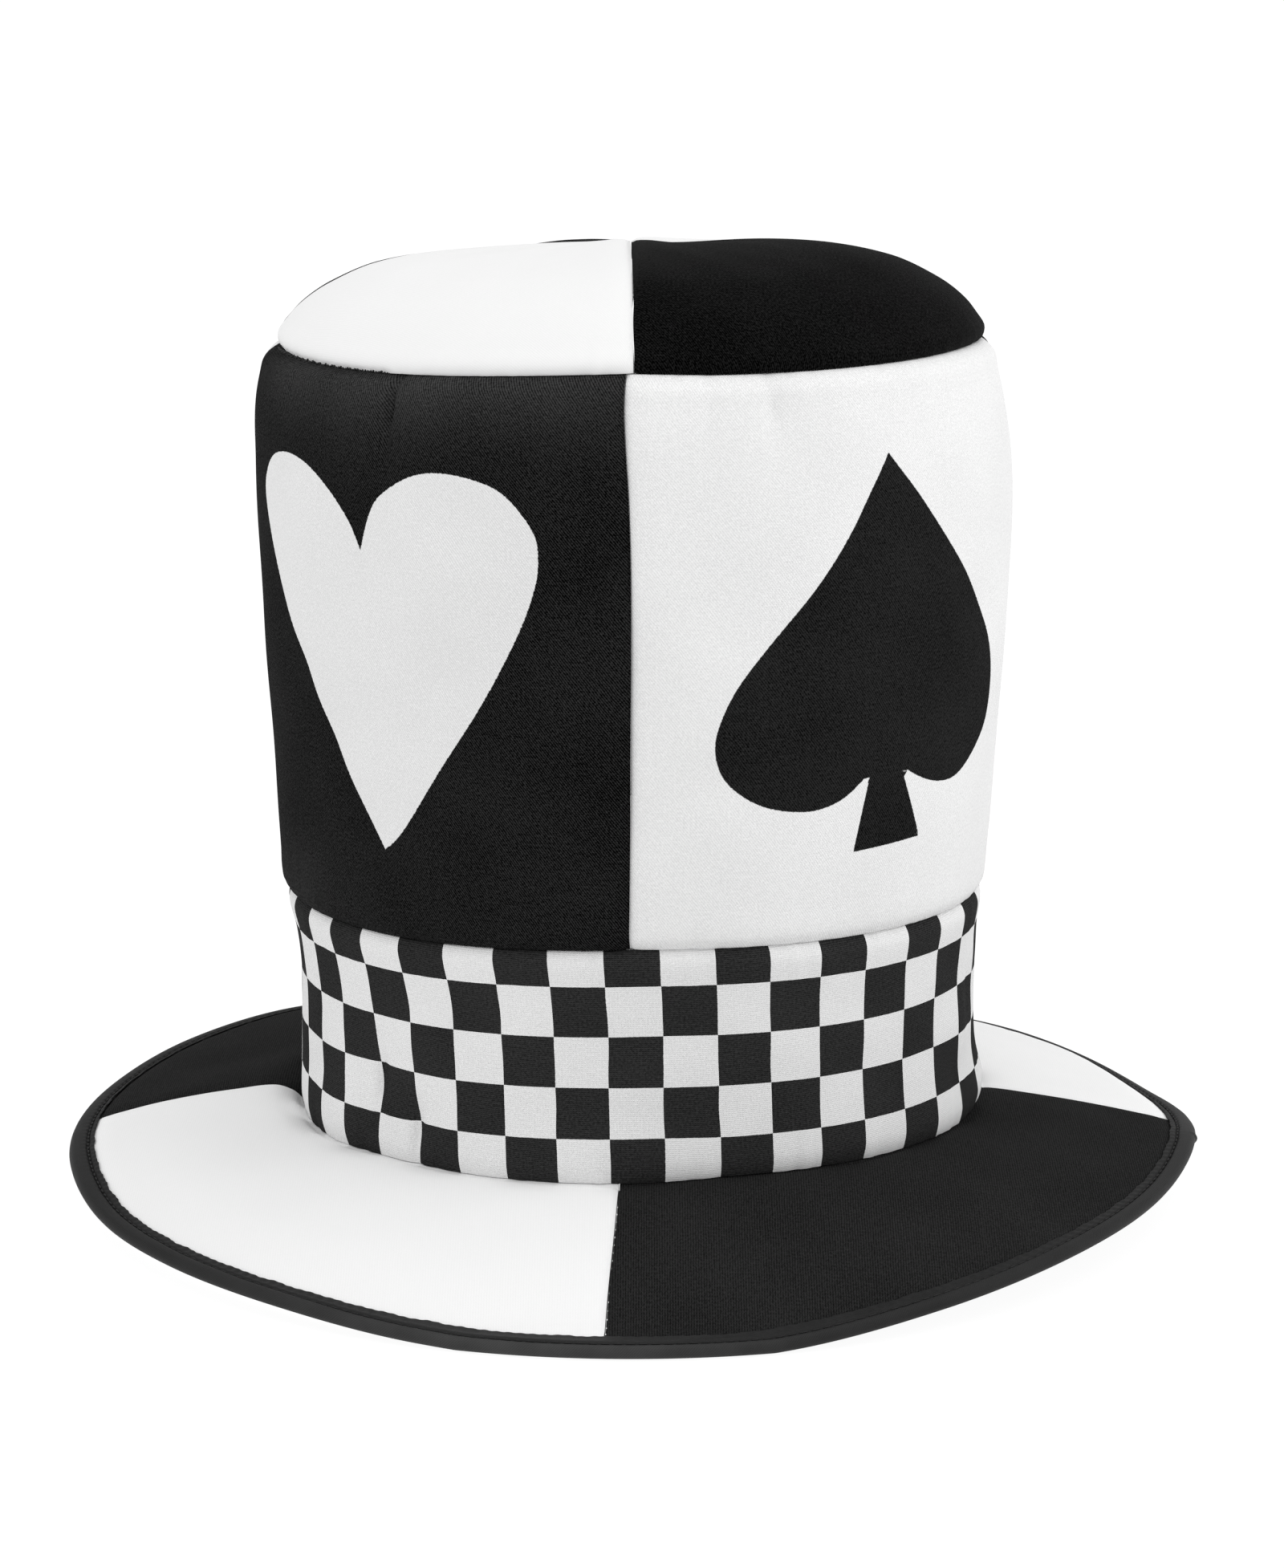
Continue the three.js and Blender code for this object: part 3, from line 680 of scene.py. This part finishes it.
def make_binding():
    azimuth = np.linspace(-FULL_TURN / 2, FULL_TURN / 2, BINDING_STEPS + 1)
    along = np.linspace(0, BINDING_ROWS["along"][-1], SECTION_STEPS)
    grid, step = np.meshgrid(azimuth, along)
    inward = follow(BINDING_ROWS, "along", "in", step)
    side = follow(BINDING_ROWS, "along", "side", step)
    pulled = np.cos(np.radians(grid) * STITCHES)
    near_edge = np.exp(-(((inward - 0.8) / 0.2) ** 2))
    side = side * (1 + 0.05 * (pulled - 1) * near_edge)
    line = around(TAPE_HIGHLIGHT, "line", grid)
    channel = np.exp(-(((inward - line) / CHANNEL_REACH) ** 2))
    side = side - CHANNEL_DEPTH * channel * (step < NOSE_STEP)
    wavy = gathered(grid, 1.0) * 1.2 + 0.08 * pulled
    join = 0.6 * np.exp(-(((grid - TAPE_JOIN) / 0.25) ** 2)) * np.clip(1 - inward * 2, 0, 1)
    radius = outer_edge(grid) - BINDING_WIDTH * inward - wavy * np.clip(inward * 2 - 1, 0, 1) + join
    height = brim_middle(grid, radius) + HALF_BINDING * side
    outside = place(radius, grid, np.maximum(height, 0))
    slot = [(1, -1), (BINDING_NOSE / BINDING_WIDTH, -1), (BINDING_NOSE / BINDING_WIDTH, 1), (1, 1)]
    inside = []
    for share, sign in slot:
        near = outer_edge(azimuth) - BINDING_WIDTH * share
        inside.append(place(near, azimuth, brim_middle(azimuth, near) + sign * (HALF_BINDING - TAPE_WALL)))
    loops = np.concatenate([outside, np.array(inside), outside[:1]])
    turn = np.radians(grid[:1]) * EDGE_RADIUS * MM
    across = np.arange(len(loops))[:, None] * 0.0006
    maps = {"cloth": np.stack(np.broadcast_arrays(turn, across), -1)}
    index = np.arange(loops.shape[0] * loops.shape[1]).reshape(loops.shape[:2])
    faces = grid_faces(index)[:, ::-1]
    flat = {title: value.reshape(-1, 2) for title, value in maps.items()}
    # A painted highlight on the satin, brightest near the front. It is half as strong inward of the stitch
    # line and left out of the stitch channel, so the channel stays darker as painted shade. It fades out past
    # the nose.
    painted_highlight = around(TAPE_HIGHLIGHT, "wear", grid) * (1 - 0.5 * (inward > line))
    painted_highlight = painted_highlight * (1 - np.exp(-(((inward - line) / 0.1) ** 2)))
    painted_highlight = painted_highlight * np.clip((NOSE_STEP + 4 - step) / 4, 0, 1)
    painted_highlight = np.concatenate([painted_highlight, np.zeros((len(loops) - len(painted_highlight), len(azimuth)))])
    return finish_mesh("binding_tape", loops.reshape(-1, 3), faces.tolist(), flat, {"rubbed": painted_highlight})


# Materials

class Nodes:
    """Builds a node tree, one node a call, with its inputs by name."""

    def __init__(self, tree):
        self.tree = tree

    def add(self, kind, inputs=None, **settings):
        node = self.tree.nodes.new(kind)
        for name, value in settings.items():
            setattr(node, name, value)
        for name, value in (inputs or {}).items():
            self.put(node, name, value)
        return node

    def put(self, node, name, value):
        socket = node.inputs[name]
        if isinstance(value, bpy.types.NodeSocket):
            self.tree.links.new(value, socket)
        else:
            socket.default_value = value

    def sum(self, kind, first, second=0.0, third=0.0):
        node = self.add("ShaderNodeMath", {0: first, 1: second, 2: third}, operation=kind)
        return node.outputs[0]

    def vector(self, kind, first, second=(0, 0, 0)):
        node = self.add("ShaderNodeVectorMath", {0: first, 1: second}, operation=kind)
        return node.outputs["Value" if kind == "DOT_PRODUCT" else "Vector"]

    def mix(self, share, first, second):
        node = self.add("ShaderNodeMix", data_type="RGBA", clamp_factor=True)
        for at, value in ((0, share), (6, first), (7, second)):
            self.put(node, at, value)
        return node.outputs[2]

    def marked(self, name):
        """A value that the mesh carries at its points."""
        node = self.add("ShaderNodeAttribute", attribute_name=name, attribute_type="GEOMETRY")
        return node.outputs["Fac"]

    def noise(self, place_on, scale, detail):
        node = self.add("ShaderNodeTexNoise", {"Vector": place_on, "Scale": scale, "Detail": detail})
        return node.outputs


def grey(level, warm=0.0):
    """A neutral colour by its level in the photograph's scale of 0 to 255."""
    share = level / 255
    linear = share / 12.92 if share <= 0.04045 else ((share + 0.055) / 1.055) ** 2.4
    return (linear * (1 + warm), linear, linear * (1 - warm), 1.0)


def start_material(name):
    material = bpy.data.materials.new(name)
    material.use_nodes = True
    material.node_tree.nodes.clear()
    return material, Nodes(material.node_tree)


def woven(nodes, first_pitch, second_pitch, lean, ragged):
    """A weave of two crossing sets of threads, as a height from -1 to 1, and its uneven cloth coordinates."""
    place_on = nodes.add("ShaderNodeUVMap", uv_map="cloth").outputs["UV"]
    drift = nodes.add("ShaderNodeTexNoise", {"Vector": place_on, "Scale": 240.0, "Detail": 2.0})
    shift = nodes.vector("SUBTRACT", drift.outputs["Color"], (0.5, 0.5, 0.5))
    moved = nodes.vector("MULTIPLY", shift, (ragged, ragged, 0))
    uneven = nodes.vector("ADD", place_on, moved)
    angle = math.radians(lean)
    waves = []
    for pitch, turn in ((first_pitch, angle), (second_pitch, angle + math.pi / 2)):
        rate = math.tau / pitch
        run = nodes.vector("DOT_PRODUCT", uneven, (rate * math.cos(turn), rate * math.sin(turn), 0))
        waves.append(nodes.sum("SINE", run))
    crossed = nodes.sum("MULTIPLY", waves[0], waves[1])
    ridges = nodes.sum("MULTIPLY", waves[0], 0.55)
    return nodes.sum("MULTIPLY_ADD", crossed, 0.45, ridges), uneven


KNIT = (0.0007, 0.0009)
FINE_KNIT = (0.00055, 0.0008)
TWILL = (0.00062, 0.0005)
# The pale level that dark cloth is lifted to where the mesh marks a painted sheen or a paler patch
SHEEN_AND_PALING_LEVEL = 84
EVEN_CLOTH = {
    "gloss": 0.02, "sheen": 0.0, "slub": 0.5, "weave": 0.5, "grain": 1.5, "middle": 0.5, "relief": 0.35,
    "ragged": 0.0004,
}


def cloth_material(name, light, dark=None, threads=TWILL, lean=38, pattern=None, **finer):
    """Light and dark are each the levels of a thread and of the gaps between threads. A print is on the
    outside only."""
    finer = EVEN_CLOTH | finer
    material, nodes = start_material(name)
    weave, uneven = woven(nodes, *threads, lean, finer["ragged"])
    patches = nodes.noise(uneven, 32.0, 3.0)[0]
    slubs = nodes.noise(uneven, 420.0, 2.0)[0]
    fibres = nodes.noise(uneven, 1500.0, 1.0)[0]
    share = nodes.sum("MULTIPLY_ADD", weave, finer["weave"], finer["middle"])
    for noise, weight in ((patches, 0.5), (slubs, 0.9 * finer["slub"]), (fibres, finer["grain"])):
        share = nodes.sum("MULTIPLY_ADD", nodes.sum("SUBTRACT", noise, 0.5), weight, share)
    colour = nodes.mix(share, grey(light[1]), grey(light[0]))
    # Painted sheen: dark cloth is lifted paler where the mesh marks it, along the crown's top edge, and in a
    # paler low corner
    if light[0] < 128:
        lifted = nodes.sum("MULTIPLY", nodes.marked("rubbed"), nodes.sum("MULTIPLY_ADD", share, 0.8, 0.6))
        colour = nodes.mix(lifted, colour, grey(SHEEN_AND_PALING_LEVEL))
    if pattern:
        other = nodes.mix(share, grey(dark[1]), grey(dark[0]))
        outside = nodes.sum("LESS_THAN", nodes.marked("inside"), 0.4)
        printed = nodes.sum("MULTIPLY", pattern(nodes), outside)
        colour = nodes.mix(printed, colour, other)
    rough = nodes.sum("MULTIPLY_ADD", weave, -0.05, 0.88)
    height = nodes.sum("MULTIPLY_ADD", fibres, 0.7, weave)
    bump = nodes.add("ShaderNodeBump", {"Height": height, "Strength": finer["relief"], "Distance": 0.00012})
    shader = nodes.add(
        "ShaderNodeBsdfPrincipled",
        {
            "Base Color": colour,
            "Roughness": rough,
            "Normal": bump.outputs[0],
            "Specular IOR Level": finer["gloss"],
            "Sheen Weight": finer["sheen"],
            "Sheen Roughness": 0.35,
        },
    )
    nodes.add("ShaderNodeOutputMaterial", {"Surface": shader.outputs[0]})
    return material


def suit_print(nodes):
    """1 inside the printed suit, with an edge as uneven as the threads."""
    place_on = nodes.add("ShaderNodeUVMap", uv_map="cloth").outputs["UV"]
    fringe = nodes.noise(place_on, 1500.0, 2.0)[0]
    moved = nodes.sum("MULTIPLY_ADD", nodes.sum("SUBTRACT", fringe, 0.5), 0.0005, nodes.marked("suit"))
    edge = nodes.add("ShaderNodeMapRange", {"Value": moved, "From Min": -0.0001, "From Max": 0.0001})
    return edge.outputs[0]


def check_print(nodes):
    """1 on every second check."""
    place_on = nodes.add("ShaderNodeUVMap", uv_map="checks").outputs["UV"]
    cloth = nodes.add("ShaderNodeUVMap", uv_map="cloth").outputs["UV"]
    fringe = nodes.noise(cloth, 1500.0, 2.0)["Color"]
    moved = nodes.vector("MULTIPLY", nodes.vector("SUBTRACT", fringe, (0.5, 0.5, 0.5)), (0.01, 0.01, 0))
    shifted = nodes.vector("ADD", nodes.vector("ADD", place_on, moved), (0, 0, 0.5))
    return nodes.add("ShaderNodeTexChecker", {"Vector": shifted, "Scale": 1.0}).outputs["Fac"]


def tape_material(name):
    """Bias tape with a slight satin shine, a painted highlight where the mesh marks it, and a fine slanted
    weave.
    """
    material, nodes = start_material(name)
    weave, uneven = woven(nodes, 0.00052, 0.00048, 45, 0.0003)
    patches = nodes.noise(uneven, 90.0, 3.0)[0]
    share = nodes.sum("MULTIPLY_ADD", weave, 0.3, patches)
    colour = nodes.mix(share, grey(8), grey(30))
    # Painted highlight: the satin is lifted to a pale level where the mesh marks it
    lifted = nodes.sum("MULTIPLY", nodes.marked("rubbed"), nodes.sum("MULTIPLY_ADD", share, 0.8, 0.45))
    colour = nodes.mix(lifted, colour, grey(88))
    rough = nodes.sum("MULTIPLY_ADD", patches, 0.25, 0.5)
    bump = nodes.add("ShaderNodeBump", {"Height": weave, "Strength": 0.3, "Distance": 0.0001})
    shader = nodes.add(
        "ShaderNodeBsdfPrincipled",
        {
            "Base Color": colour,
            "Roughness": rough,
            "Normal": bump.outputs[0],
            "Specular IOR Level": 0.16,
        },
    )
    nodes.add("ShaderNodeOutputMaterial", {"Surface": shader.outputs[0]})
    return material


def thread_material(name, level):
    """Spun thread, with the turns of its ply."""
    material, nodes = start_material(name)
    place_on = nodes.add("ShaderNodeTexCoord").outputs["Object"]
    wave = nodes.add("ShaderNodeTexWave", {"Vector": place_on, "Scale": 900.0, "Distortion": 2.0})
    ply = wave.outputs["Fac"]
    colour = nodes.mix(ply, grey(level * 0.75), grey(level * 1.15))
    rough = nodes.sum("MULTIPLY_ADD", ply, -0.15, 0.65)
    bump = nodes.add("ShaderNodeBump", {"Height": ply, "Strength": 0.4, "Distance": 0.0001})
    shader = nodes.add(
        "ShaderNodeBsdfPrincipled",
        {"Base Color": colour, "Roughness": rough, "Normal": bump.outputs[0], "Specular IOR Level": 0.35},
    )
    nodes.add("ShaderNodeOutputMaterial", {"Surface": shader.outputs[0]})
    return material


finishes = {
    "crown_black": cloth_material(
        "black crown cloth", (50, 0), (234, 212), pattern=suit_print,
        slub=0.4, weave=0.8, grain=1.7, middle=0.3,
    ),
    "crown_white": cloth_material("white crown cloth", (236, 214), (44, 0), pattern=suit_print, slub=0.4),
    "band": cloth_material(
        "checked band cloth", (232, 212), (56, 24), FINE_KNIT, 90, check_print, slub=0.25, ragged=0.00012,
    ),
    "brim_black": cloth_material("black knit cloth", (45, 17), None, KNIT, 0, slub=0.4),
    "brim_white": cloth_material(
        "white knit cloth", (237, 233), None, KNIT, 0, slub=0.3, grain=0.8, relief=0.1,
    ),
    "tip_black": cloth_material("black tip cloth", (30, 0), gloss=0.01, sheen=0.035, grain=2.4, middle=0.3),
    # Painted shade: the tip's white gets its own darker levels, offsetting the stronger light that falls on
    # top
    "tip_white": cloth_material("white tip cloth", (233, 228), slub=0.3, grain=0.8, relief=0.12),
    "tape": tape_material("black binding tape"),
    "thread": thread_material("black thread", 6),
    "white thread": thread_material("white thread", 225),
}


# Stitches, laid along a path by Geometry Nodes

def stitch_tree():
    tree = bpy.data.node_groups.new("stitch row", "GeometryNodeTree")
    sockets = {}
    tree.interface.new_socket(name="Path", in_out="INPUT", socket_type="NodeSocketGeometry")
    sizes = (
        ("Count", "NodeSocketInt"), ("Thread", "NodeSocketFloat"), ("Length", "NodeSocketFloat"),
        ("Unevenness", "NodeSocketFloat"), ("Seed", "NodeSocketInt"), ("Finish", "NodeSocketMaterial"),
    )
    for name, kind in sizes:
        sockets[name] = tree.interface.new_socket(name=name, in_out="INPUT", socket_type=kind).identifier
    tree.interface.new_socket(name="Stitches", in_out="OUTPUT", socket_type="NodeSocketGeometry")
    nodes = Nodes(tree)
    given = nodes.add("NodeGroupInput").outputs
    curve = nodes.add("GeometryNodeMeshToCurve", {"Mesh": given["Path"]}).outputs["Curve"]
    evenly = nodes.add("GeometryNodeResampleCurve", {"Curve": curve, "Count": given["Count"]}, mode="COUNT")
    bead = nodes.add("GeometryNodeMeshUVSphere", {"Segments": 8, "Rings": 6, "Radius": 0.5})
    soft = nodes.add("GeometryNodeSetShadeSmooth", {"Geometry": bead.outputs["Mesh"]})
    tangent = nodes.add("GeometryNodeInputTangent").outputs[0]
    turn = nodes.add("FunctionNodeAlignRotationToVector", {"Vector": tangent}, axis="X")
    low = nodes.sum("SUBTRACT", 1.0, given["Unevenness"])
    high = nodes.sum("ADD", 1.0, given["Unevenness"])
    spread = nodes.add(
        "FunctionNodeRandomValue", {2: low, 3: high, "Seed": given["Seed"]}, data_type="FLOAT"
    ).outputs[1]
    long = nodes.sum("MULTIPLY", given["Length"], spread)
    size = nodes.add("ShaderNodeCombineXYZ", {"X": long, "Y": given["Thread"], "Z": given["Thread"]})
    laid = nodes.add(
        "GeometryNodeInstanceOnPoints",
        {
            "Points": evenly.outputs["Curve"],
            "Instance": soft.outputs[0],
            "Rotation": turn.outputs[0],
            "Scale": size.outputs[0],
        },
    )
    real = nodes.add("GeometryNodeRealizeInstances", {"Geometry": laid.outputs[0]})
    dressed = {"Geometry": real.outputs[0], "Material": given["Finish"]}
    finished = nodes.add("GeometryNodeSetMaterial", dressed)
    nodes.add("NodeGroupOutput", {"Stitches": finished.outputs[0]})
    return tree, sockets


stitch_group, stitch_sockets = stitch_tree()


def stitch_row(name, points, closed, **sizes):
    """Lays stitches along a path of points in millimetres, and keeps them as one plain mesh."""
    count = len(points)
    edges = [(at, (at + 1) % count) for at in range(count if closed else count - 1)]
    path = bpy.data.meshes.new(name + "_path")
    path.from_pydata((np.asarray(points) * MM).tolist(), edges, [])
    guide = bpy.data.objects.new(name + "_path", path)
    bpy.context.scene.collection.objects.link(guide)
    modifier = guide.modifiers.new("stitches", "NODES")
    modifier.node_group = stitch_group
    for title, value in sizes.items():
        modifier[stitch_sockets[title]] = value
    evaluated = guide.evaluated_get(bpy.context.evaluated_depsgraph_get())
    mesh = bpy.data.meshes.new_from_object(evaluated)
    mesh.name = name
    bpy.data.objects.remove(guide)
    row = bpy.data.objects.new(name, mesh)
    bpy.context.scene.collection.objects.link(row)
    return row


def binding_stitches(name, side):
    azimuth = (np.arange(STITCHES * 4) / (STITCHES * 4) - 0.5) * FULL_TURN
    radius = outer_edge(azimuth) - BINDING_WIDTH * around(TAPE_HIGHLIGHT, "line", azimuth)
    height = brim_middle(azimuth, radius) + side * (HALF_BINDING * (0.8 if side > 0 else 0.86) + 0.03)
    path = place(radius, azimuth, np.maximum(height, 0.3))
    return stitch_row(
        name, path, True, Count=STITCHES, Thread=0.0005, Length=0.0027, Unevenness=0.06, Seed=3,
        Finish=finishes["thread"],
    )


def frayed_edge(name, low, high, count, finish):
    """Thread ends that stand out of the tip's edge between two azimuths."""
    azimuth = np.linspace(low, high, 4 * count)
    wander = 0.3 * np.cos(azimuth * 7.3) + 0.3 * np.cos(azimuth * 17.9 + 1)
    path = place(TIP_RADIUS + 0.2, azimuth, tip_seam(azimuth) + 0.5 + 0.7 * wander)
    path[..., 0] += CROWN_ROWS["lean"][-1] * BAND_RADIUS
    return stitch_row(
        name, path, False, Count=count, Thread=0.0006, Length=0.0008, Unevenness=0.6, Seed=5,
        Finish=finishes[finish],
    )


def seam_nibs(name, turn, low, high, count, finish):
    """Thread ends along one of the brim's seams, between two distances from the middle."""
    radius = np.linspace(low, high, 40)
    azimuth = turn + strayed(0, (radius - BAND_RADIUS) / BRIM_WIDTH)
    path = place(radius, azimuth, brim_middle(azimuth, radius) + BRIM_WALL / 2 - SEAM_DIP / 2 - 0.25)
    return stitch_row(
        name, path, False, Count=count, Thread=0.0003, Length=0.0005, Unevenness=0.5, Seed=7,
        Finish=finishes[finish],
    )


# The pieces

def settle(piece, finish, slot, *nodes):
    if finish:
        piece.data.materials.clear()
        piece.data.materials.append(finishes[finish])
    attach(piece, "root")
    if nodes:
        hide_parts(*nodes)
    return piece


settle(frayed_edge("tip_fraying_left", -78, -40, 64, "thread"), None, "black_cloth")
nibs = seam_nibs("brim_seam_nibs", SEAM_TURNS["brim"][0] + 0.1, 112, 158, 17, "white thread")
settle(nibs, None, "white_cloth")

for quarter in QUARTERS:
    side = quarter["side"]
    shade = quarter["tip"]
    tip = settle(make_tip(quarter), f"tip_{shade}", f"{shade}_cloth", f"tip_{side}")
    shade = quarter["crown"]
    crown = settle(make_crown(quarter), f"crown_{shade}", f"{shade}_cloth", f"crown_{side}")
    shade = quarter["brim"]
    brim = settle(make_brim(quarter), f"brim_{shade}", f"{shade}_cloth", f"brim_{side}")

band = settle(make_band(), "band", "check_cloth", "check_band")
binding = settle(make_binding(), "tape", "binding_tape", "brim_binding")
upper = settle(binding_stitches("binding_stitches_upper", 1), None, "binding_tape")
lower = settle(binding_stitches("binding_stitches_lower", -1), None, "binding_tape")


# Floor, light and camera

def make_floor():
    mesh = bpy.data.meshes.new("floor")
    reach, level = 30.0, -0.0002
    corners = [(-reach, -reach, level), (reach, -reach, level), (reach, reach, level), (-reach, reach, level)]
    mesh.from_pydata(corners, [], [(0, 1, 2, 3)])
    floor = bpy.data.objects.new("floor", mesh)
    bpy.context.scene.collection.objects.link(floor)
    material, nodes = start_material("lit pale floor")
    paint = nodes.add("ShaderNodeBsdfDiffuse", {"Color": (0.12, 0.12, 0.12, 1)})
    glow = nodes.add("ShaderNodeEmission", {"Color": (1, 1, 1, 1), "Strength": 0.94})
    both = nodes.add("ShaderNodeAddShader", {0: paint.outputs[0], 1: glow.outputs[0]})
    nodes.add("ShaderNodeOutputMaterial", {"Surface": both.outputs[0]})
    mesh.materials.append(material)


def make_light():
    world = bpy.data.worlds.new("studio")
    world.use_nodes = True
    background = world.node_tree.nodes["Background"]
    background.inputs["Color"].default_value = (1, 1, 1, 1)
    background.inputs["Strength"].default_value = 0.62
    bpy.context.scene.world = world
    sun = bpy.data.lights.new("overhead softbox", "SUN")
    sun.energy = 1.16
    sun.angle = math.radians(70)
    overhead = bpy.data.objects.new("overhead softbox", sun)
    overhead.rotation_euler = (math.radians(2), math.radians(6), 0)
    bpy.context.scene.collection.objects.link(overhead)
    boxes = (
        ("left softbox", -1.5, -0.6, 0.8, 6.6),
        ("right softbox", 1.5, -0.4, 0.8, 9.0),
        ("front softbox", 0.3, -1.9, 0.5, 2.6),
    )
    for name, x, y, z, watts in boxes:
        lamp = bpy.data.lights.new(name, "AREA")
        lamp.energy = watts
        lamp.shape = "RECTANGLE"
        lamp.size, lamp.size_y = 1.2, 1.6
        box = bpy.data.objects.new(name, lamp)
        box.location = (x, y, z)
        aim = Vector((0, 0, 0.15)) - box.location
        box.rotation_euler = aim.to_track_quat("-Z", "Y").to_euler()
        bpy.context.scene.collection.objects.link(box)


def make_camera():
    camera = bpy.data.cameras.new("camera")
    camera.sensor_width = 36.0
    camera.lens = 95.92
    camera.clip_start, camera.clip_end = 0.05, 100.0
    eye = bpy.data.objects.new("camera", camera)
    eye.location = (0.0028, -1.2, 0.3905)
    eye.rotation_euler = (math.radians(90 - 12.851), 0, 0)
    bpy.context.scene.collection.objects.link(eye)
    bpy.context.scene.camera = eye
    bpy.context.scene.view_settings.view_transform = "Standard"


make_floor()
make_light()
make_camera()
